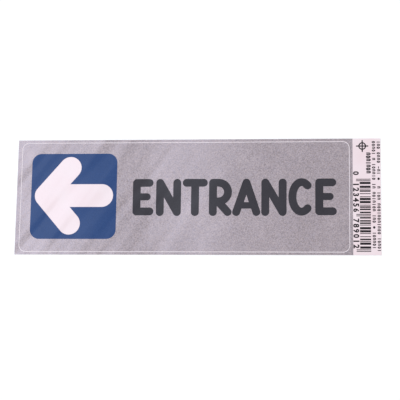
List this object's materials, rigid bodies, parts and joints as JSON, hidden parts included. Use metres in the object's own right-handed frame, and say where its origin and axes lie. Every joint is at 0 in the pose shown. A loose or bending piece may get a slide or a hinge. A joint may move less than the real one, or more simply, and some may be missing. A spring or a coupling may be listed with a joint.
{
  "type": "self-adhesive entrance sign",
  "caption": "Flat self-adhesive door sign: a round-cornered silver label with a white arrow on a blue panel, kiss cut in its waste frame on release paper.",
  "frame": {"origin": "middle of the sheet's underside, which is the back of the release paper", "axes": "+X runs along the sheet in the reading direction, +Y is the sign's up, and +Z points out of the printed face"},
  "size_m": [0.166, 0.0532, 0.0003],
  "materials": {
    "release_paper": "satin",
    "white_film": "satin",
    "silver_ink": "satin",
    "blue_ink": "satin",
    "dark_ink": "satin"
  },
  "bodies": {
    "root": {"release_paper": "release_paper", "label_film": "white_film", "waste_frame": "white_film", "silver_ground": "silver_ink", "silver_bleed": "silver_ink", "arrow_panel": "blue_ink"}
  },
  "joints": []
}
